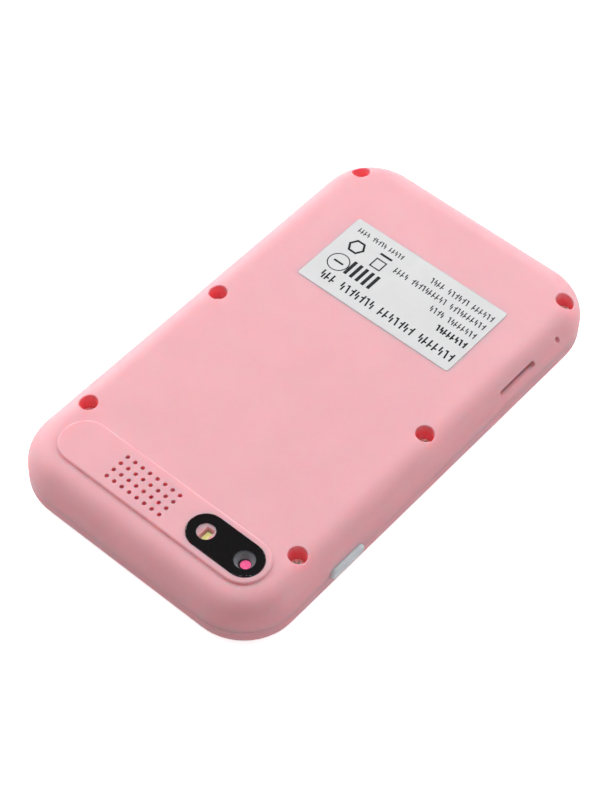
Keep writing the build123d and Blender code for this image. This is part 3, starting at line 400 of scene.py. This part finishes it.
def band_between(outer, inner, low_z, high_z):
    """A flat band between two loops of as many points: a four-cornered profile (outside low, outside high,
    inside high, inside low) at each step of the loops. Returns its points and its faces."""
    flat = np.stack((outer, outer, inner, inner), axis=1)
    heights = np.broadcast_to(np.array((low_z, high_z, high_z, low_z)), flat.shape[:2])
    points = np.concatenate((flat, heights[..., None]), axis=-1)
    index = np.arange(flat.shape[0] * 4).reshape(-1, 4)
    on, up = np.roll(index, -1, axis=0), np.roll(index, -1, axis=1)
    faces = np.stack((index, on, np.roll(on, -1, axis=1), up), axis=-1)
    return points.reshape(-1, 3), faces.reshape(-1, 4)


def merged(parts):
    """Several sets of points and faces as one, each set's faces moved on past the points before it."""
    starts = np.cumsum([0] + [len(points) for points, faces in parts[:-1]])
    points = np.concatenate([points for points, faces in parts])
    return points, np.concatenate([faces + start for (_, faces), start in zip(parts, starts)])


def new_piece(name, points, faces, material, slot):
    """A closed piece from points in millimetres, riding with the phone."""
    mesh = bpy.data.meshes.new(name)
    mesh.from_pydata((points * MM).tolist(), [], faces.tolist())
    mesh.materials.append(material)
    piece = bpy.data.objects.new(name, mesh)
    bpy.context.collection.objects.link(piece)
    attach(piece, "phone")
    return piece


LENS_BACK_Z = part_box("cover_lens")[1][2] / MM
MASK_FROM_BACK, MASK_T = 0.015, 0.012
display_middle = (np.array(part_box("display_panel")[0]) + np.array(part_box("display_panel")[1])) / 2 / MM
MASK_W, MASK_L, MASK_R = 59.6, 109.6, 8.4
OPENING_W, OPENING_L, OPENING_R = 47.4, 66.4, 0.8
mask_outside = rounded_loop(MASK_W, MASK_L, MASK_R, (0.0, 0.0))
mask_opening = rounded_loop(OPENING_W, OPENING_L, OPENING_R, display_middle[:2])
mask_top_z = LENS_BACK_Z - MASK_FROM_BACK + MASK_T
mask = band_between(mask_outside, mask_opening, LENS_BACK_Z - MASK_FROM_BACK, mask_top_z)
new_piece("lens_mask", *mask, window_ink, "window_black")

# Glass cell of a display that is off: blue-black, glossy, with its fine grid of dots hardly showing.
display_glass, tree, shader = new_material("display_glass_cell", IOR=1.52, Roughness=0.08)
DOT_PITCH = 0.24
object_place = add(tree, "TexCoord").outputs["Object"]
dot_rows = add(tree, "TexBrick", {"Vector": object_place, "Scale": 1 / (DOT_PITCH * MM)})
dot_rows.inputs["Color1"].default_value = linear("#0C0E13")
dot_rows.inputs["Color2"].default_value = linear("#10131A")
dot_rows.inputs["Mortar"].default_value = linear("#07080A")
tree.links.new(dot_rows.outputs["Color"], shader.inputs["Base Color"])
dress("display_panel", display_glass)

# Glass-filled nylon and ABS for small fittings: white, with a fine matte grain.
white_nylon, tree, shader = new_material("moulded_white_nylon", IOR=1.53, Roughness=0.5)
two_tones(tree, shader, 1.2, "#E6E3DA", "#F0EEE7")
tree.links.new(bump(tree, grain(tree, 0.15), 0.004, 0.5), shader.inputs["Normal"])
for node in ("display_backlight", "display_connector", "battery_socket", "battery_plug", "camera_connector"):
    dress(node, white_nylon)
for node in ("flash_riser", "flash_base", "power_plunger", "reset_plunger"):
    dress(node, white_nylon)

# Polyimide ribbon: amber film over copper tracks about 1 mm apart, drawn as faint stripes.
ribbon_film, tree, shader = new_material("polyimide_ribbon", IOR=1.7, Roughness=0.32)
stripes = add(tree, "TexWave", {"Scale": 0.5 / (0.5 * MM) / 3.14, "Distortion": 0.0}, bands_direction="X")
tree.links.new(add(tree, "TexCoord").outputs["Object"], stripes.inputs["Vector"])
tree.links.new(tint(tree, stripes.outputs["Fac"], "#9A5A1E", "#C07A2E"), shader.inputs["Base Color"])
for node in ("display_flex", "camera_flex"):
    dress(node, ribbon_film)


# ================================================================ circuit boards
# Glass-epoxy boards with a green solder mask over copper tracks; the main board carries the chips, the
# capacitors and the sockets.
board_mask, tree, shader = new_material("green_solder_mask", IOR=1.55, Roughness=0.3)
tracks = add(tree, "TexVoronoi", {"Scale": 1 / (2.2 * MM)}, distance="MANHATTAN", feature="DISTANCE_TO_EDGE")
tree.links.new(add(tree, "TexCoord").outputs["Object"], tracks.inputs["Vector"])
on_track = spread(tree, tracks.outputs["Distance"], 1.0, 0.0, 0.05, 0.12)
tree.links.new(tint(tree, on_track, "#0E5A34", "#1D7A4A"), shader.inputs["Base Color"])
tree.links.new(bump(tree, on_track, 0.03, 0.6), shader.inputs["Normal"])
for node in ("main_circuit_board", "camera_sensor_board"):
    dress(node, board_mask)

# Moulded epoxy: near black, with a dry fine grain.
chip_epoxy, tree, shader = new_material("moulded_epoxy", IOR=1.55, Roughness=0.55)
two_tones(tree, shader, 0.6, "#1B1C1E", "#26272A")
tree.links.new(bump(tree, grain(tree, 0.1), 0.004, 0.6), shader.inputs["Normal"])
for node in ("processor_chip", "memory_chip", "memory_card"):
    dress(node, chip_epoxy)

# Fired ceramic capacitors: tan, with a faint mottle. Their tinned ends are not drawn.
capacitor_ceramic, tree, shader = new_material("fired_ceramic", IOR=1.6, Roughness=0.4)
two_tones(tree, shader, 0.3, "#A98258", "#BC966B")
dress("board_capacitors", capacitor_ceramic)


# ================================================================ battery
# A flat cell in a pouch of aluminium laminate, taped to the back of the display, with two PVC-covered
# leads to a plug on the board.
pouch_laminate, tree, shader = new_material("aluminium_laminate", Metallic=1.0)
two_tones(tree, shader, 6.0, "#B9BCC0", "#C9CCD0")
tree.links.new(spread(tree, grain(tree, 2.0), 0.28, 0.42), shader.inputs["Roughness"])
tree.links.new(bump(tree, grain(tree, 3.0), 0.05, 0.6), shader.inputs["Normal"])
dress("battery_cell", pouch_laminate)

for node, colours in (
    ("battery_lead_red", ("#B01C1C", "#C22424")),
    ("battery_lead_black", ("#17171A", "#222226")),
    ("speaker_leads", ("#17171A", "#222226")),
):
    # Extruded PVC: even colour, satin, with a faint mottle.
    lead_pvc, tree, shader = new_material(f"extruded_pvc_{node}", IOR=1.54, Roughness=0.38)
    two_tones(tree, shader, 1.0, *colours)
    dress(node, lead_pvc)


# ================================================================ speaker
# A small moulded frame with a pressed-film cone, behind a foam gasket and the holes in the bar.
black_abs, tree, shader = new_material("moulded_black_abs", IOR=1.53)
two_tones(tree, shader, 1.5, "#121214", "#1B1B1E")
tree.links.new(spread(tree, grain(tree, 0.8), 0.45, 0.58), shader.inputs["Roughness"])
tree.links.new(bump(tree, grain(tree, 0.12), 0.005, 0.5), shader.inputs["Normal"])
for node in ("speaker_frame", "camera_housing", "camera_barrel"):
    dress(node, black_abs)
for node in ("power_switch", "reset_switch", "usb_tongue"):
    dress(node, black_abs)

# Pressed polyester film: dark grey, slightly shiny, a little uneven from the press.
cone_film, tree, shader = new_material("pressed_polyester_film", IOR=1.57, Roughness=0.4)
two_tones(tree, shader, 2.0, "#2C2B2A", "#3A3937")
tree.links.new(bump(tree, grain(tree, 0.6), 0.02, 0.5), shader.inputs["Normal"])
dress("speaker_cone", cone_film)


# ================================================================ flash and camera
# The flash is a block of phosphor gel on a white package, seen through the oblong light well. A faint
# glow stands in for the brightness of the gel, which turns blue light yellow. The camera is a small lens in
# a black barrel, inside a dark grey cone that ends under the window.
phosphor_gel, tree, shader = new_material(
    "phosphor_in_silicone", IOR=1.41, Roughness=0.25, Emission_Color=linear("#D8E060"), Emission_Strength=0.25
)
two_tones(tree, shader, 0.25, "#ECEEA4", "#F2F2B4")
tree.links.new(bump(tree, grain(tree, 0.5), 0.02, 0.4), shader.inputs["Normal"])
dress("flash_emitter", phosphor_gel)

# Matte grey moulding: catches enough light to show its steps.
grey_abs, tree, shader = new_material("moulded_grey_abs", IOR=1.53, Roughness=0.6)
two_tones(tree, shader, 0.5, "#7A7E82", "#868A8E")
tree.links.new(bump(tree, grain(tree, 0.15), 0.004, 0.5), shader.inputs["Normal"])
dress("camera_baffle", grey_abs)

# Coated lens: an even hot pink over the whole disc. A glow stands in for its coating's reflection.
coated_lens, tree, shader = new_material(
    "coated_camera_lens",
    IOR=1.6,
    Roughness=0.06,
    Coat_Weight=0.6,
    Coat_Roughness=0.03,
    Emission_Color=linear("#FF3A80"),
    Emission_Strength=0.45,
)
two_tones(tree, shader, 0.9, "#FF6FA6", "#FF86B4")
dress("camera_lens", coated_lens)


# ================================================================ camera window
# A clear acrylic plate with black ink on its back, glued into the bar; two spots are left clear for the
# flash and the camera. Its edge stands just proud of the bar and picks up the pink round it.
window_acrylic, tree, shader = clear_material("polished_acrylic", "#FBFCFC", 1.49, 0.015, "#C6C6C8")
tree.links.new(bump(tree, grain(tree, 9.0), 0.004, 0.3), shader.inputs["Normal"])
dress("window_plate", window_acrylic)

dress("window_print", window_ink)


# ================================================================ power button
# One milky ABS key that pokes out through both covers and presses on the switch's plunger.
milky_abs, tree, shader = new_material("moulded_milky_abs", IOR=1.53, Specular_IOR_Level=0.5)
two_tones(tree, shader, 2.5, "#C9D0D6", "#D3D9DE")
tree.links.new(spread(tree, grain(tree, 1.0), 0.3, 0.42), shader.inputs["Roughness"])
tree.links.new(bump(tree, grain(tree, 0.35), 0.006, 0.4), shader.inputs["Normal"])
dress("power_button", milky_abs)


# ================================================================ sockets, microphone and screws
# Pressed and tinned steel shells, and nickel-plated steel screws at the bottom of the wells.
tinned_steel, tree, shader = new_material("pressed_tinned_steel", Metallic=1.0)
two_tones(tree, shader, 1.2, "#B4B5B3", "#C6C7C4")
tree.links.new(spread(tree, grain(tree, 0.7, stretch=(1, 6, 1)), 0.22, 0.36), shader.inputs["Roughness"])
tree.links.new(bump(tree, grain(tree, 0.5, stretch=(1, 6, 1)), 0.004, 0.4), shader.inputs["Normal"])
for node in ("card_socket", "usb_shell", "microphone"):
    dress(node, tinned_steel)

# Gold-plated phosphor bronze: five spring strips under the socket's tongue, 0.65 mm apart.
gold_plate, tree, shader = new_material("gold_plated_bronze", Metallic=1.0)
two_tones(tree, shader, 0.8, "#D9A441", "#E6B85A")
tree.links.new(spread(tree, grain(tree, 0.5, stretch=(4, 1, 1)), 0.2, 0.32), shader.inputs["Roughness"])


def bars(middles, sizes, turns):
    """Closed boxes, one for each row: a unit box's eight corners stretched by its size, turned about Z by
    its angle, and moved to its middle. Returns the points and the faces."""
    corners = np.array(np.meshgrid((-0.5, 0.5), (-0.5, 0.5), (-0.5, 0.5), indexing="ij")).reshape(3, 8).T
    stretched = corners[None] * np.asarray(sizes)[:, None]
    cos, sin = np.cos(turns)[:, None], np.sin(turns)[:, None]
    turned_x = stretched[..., 0] * cos - stretched[..., 1] * sin
    turned_y = stretched[..., 0] * sin + stretched[..., 1] * cos
    points = np.stack((turned_x, turned_y, stretched[..., 2]), axis=-1) + np.asarray(middles)[:, None]
    box = np.array(((0, 1, 3, 2), (4, 6, 7, 5), (0, 4, 5, 1), (2, 3, 7, 6), (0, 2, 6, 4), (1, 5, 7, 3)))
    faces = box[None] + 8 * np.arange(len(points))[:, None, None]
    return points.reshape(-1, 3), faces.reshape(-1, 4)


tongue_low, tongue_high = (np.array(corner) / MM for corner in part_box("usb_tongue"))
CONTACT_W, CONTACT_L, CONTACT_T, CONTACT_PITCH = 0.35, 3.4, 0.05, 0.65
contact_x = CONTACT_PITCH * np.arange(-2, 3)
contact_y = np.full(5, tongue_high[1] - 0.3 - CONTACT_L / 2)
contact_z = np.full(5, tongue_low[2] - CONTACT_T / 2 + 0.01)
contacts = bars(
    np.stack((contact_x, contact_y, contact_z), axis=-1),
    np.tile((CONTACT_W, CONTACT_L, CONTACT_T), (5, 1)),
    np.zeros(5),
)
new_piece("usb_contacts", *contacts, gold_plate, "tinned_steel")

plated_steel, tree, shader = new_material("nickel_plated_steel", Metallic=0.7)
two_tones(tree, shader, 0.6, "#ECEAE6", "#F6F4F0")
tree.links.new(spread(tree, grain(tree, 0.4), 0.38, 0.52), shader.inputs["Roughness"])
tree.links.new(bump(tree, grain(tree, 0.35), 0.006, 0.5), shader.inputs["Normal"])
for node in ("case_screws", "board_screws"):
    dress(node, plated_steel)


# ================================================================ label
# Coated paper with glue on its back. Its print is set in marks that mean nothing.
label_paper, tree, shader = new_material("coated_label_paper", IOR=1.5)
two_tones(tree, shader, 5.0, "#D1D1D2", "#D6D6D7")
tree.links.new(spread(tree, grain(tree, 0.8), 0.42, 0.52), shader.inputs["Roughness"])
tree.links.new(bump(tree, grain(tree, 0.25, 4.0), 0.006, 0.5), shader.inputs["Normal"])
dress("back_label", label_paper)

# Thermal-printed marks, a hair thick. A line is made of marks of five kinds that are no letters: an upright
# with one or two short ticks, two half uprights, or a slanting upright with a dot. A mark's strokes are
# given as shares of the line's height: the middle along and up, the size along and up, and the lean.
label_ink, tree, shader = new_material("thermal_print_black", IOR=1.5, Roughness=0.6, Specular_IOR_Level=0.2)
two_tones(tree, shader, 0.3, "#17171A", "#27272A")

MARKS = (
    ((0.1, 0.5, 0.0, 1.0, 0), (0.26, 0.35, 0.28, 0.0, 0)),
    ((0.36, 0.5, 0.0, 1.0, 0), (0.18, 0.65, 0.28, 0.0, 0)),
    ((0.1, 0.68, 0.0, 0.64, 0), (0.34, 0.32, 0.0, 0.64, 0)),
    ((0.16, 0.5, 0.0, 1.0, 0.2), (0.38, 0.12, 0.06, 0.1, 0)),
    ((0.22, 0.5, 0.0, 1.0, 0), (0.34, 0.33, 0.2, 0.0, 0), (0.1, 0.67, 0.2, 0.0, 0)),
)
MARK_PITCH = 0.58  # from one mark to the next, as a share of the height
# Each line: its start and end along the label, its middle across it, its height, its stroke as a share
# of the height, and the places from one gap to the next.
PRINT_LINES = (
    (1.2, 39.6, 3.5, 2.4, 0.17, 8),
    (1.3, 9.8, 8.2, 1.8, 0.23, 20),
    (1.3, 15.0, 11.6, 1.7, 0.16, 9),
    (1.3, 27.0, 14.9, 1.7, 0.16, 11),
    (1.3, 19.2, 18.0, 1.7, 0.16, 7),
    (27.5, 40.5, 18.8, 1.4, 0.17, 6),
)
label_low, label_high = (np.array(corner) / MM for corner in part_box("back_label"))
PRINT_T, PRINT_SINK = 0.02, 0.005  # the print's lower face lies just inside the paper
print_z = label_high[2] + PRINT_T / 2 - PRINT_SINK


def printed_bars(strokes):
    """Bars on the label from rows of: along the label from its +X edge, across it from its -Y edge, size
    along, size across, and lean. The print reads towards -X, with its top towards -Y."""
    along, across, size_along, size_across, lean = np.array(strokes).T
    middles = np.stack((label_high[0] - along, label_low[1] + across, np.full(len(along), print_z)), axis=-1)
    return bars(middles, np.stack((size_along, size_across, np.full(len(along), PRINT_T)), axis=-1), lean)


def line_of_marks(start, end, middle, height, stroke, word):
    """The strokes of one line: marks at an even pitch, with every so-many-th place left as a gap."""
    strokes = []
    for place in range(int((end - start) / (MARK_PITCH * height))):
        if place % word == word - 1:
            continue
        for along, up, size_along, size_up, lean in MARKS[(3 * place + place * place // 4) % len(MARKS)]:
            left = start + (place * MARK_PITCH + along) * height
            down = middle + (0.5 - up) * height
            strokes.append(
                (left, down, max(size_along, stroke) * height, max(size_up, stroke) * height, lean)
            )
    return strokes


def printed_ring(along, across, outer_r, inner_r, sides, turn):
    """An outline of so many sides on the label: the band between two circles, one step to a side."""
    angle = turn + 2 * np.pi * np.arange(sides) / sides
    circle = np.stack((np.cos(angle), np.sin(angle)), axis=-1)
    middle = np.array((label_high[0] - along, label_low[1] + across))
    low_z, high_z = print_z - PRINT_T / 2, print_z + PRINT_T / 2
    return band_between(middle + outer_r * circle, middle + inner_r * circle, low_z, high_z)


strokes = [stroke for line in PRINT_LINES for stroke in line_of_marks(*line)]
# Five plain bars, a ring with a dash, a square over a bar, and a hexagon.
BARS_FROM, BARS_PITCH, BARS_ACROSS, BARS_W, BARS_L = 27.9, 1.65, 8.75, 0.85, 4.4
RING_ALONG, RING_ACROSS = 37.6, 8.3
SQUARE_ALONG, SQUARE_ACROSS, SQUARE_BAR_ACROSS = 30.5, 13.6, 16.5
strokes += [(BARS_FROM + BARS_PITCH * step, BARS_ACROSS, BARS_W, BARS_L, 0) for step in range(5)]
strokes += [(RING_ALONG, RING_ACROSS, 2.6, 0.5, 0), (SQUARE_ALONG, SQUARE_BAR_ACROSS, 3.3, 0.6, 0)]
label_print = merged(
    [
        printed_bars(strokes),
        printed_ring(RING_ALONG, RING_ACROSS, 2.65, 2.4, 48, 0),
        printed_ring(SQUARE_ALONG, SQUARE_ACROSS, 2.1, 1.65, 4, np.pi / 4),
        printed_ring(37.4, 14.4, 2.2, 1.6, 6, 0),
    ]
)
new_piece("label_print", *label_print, label_ink, "label_stock")
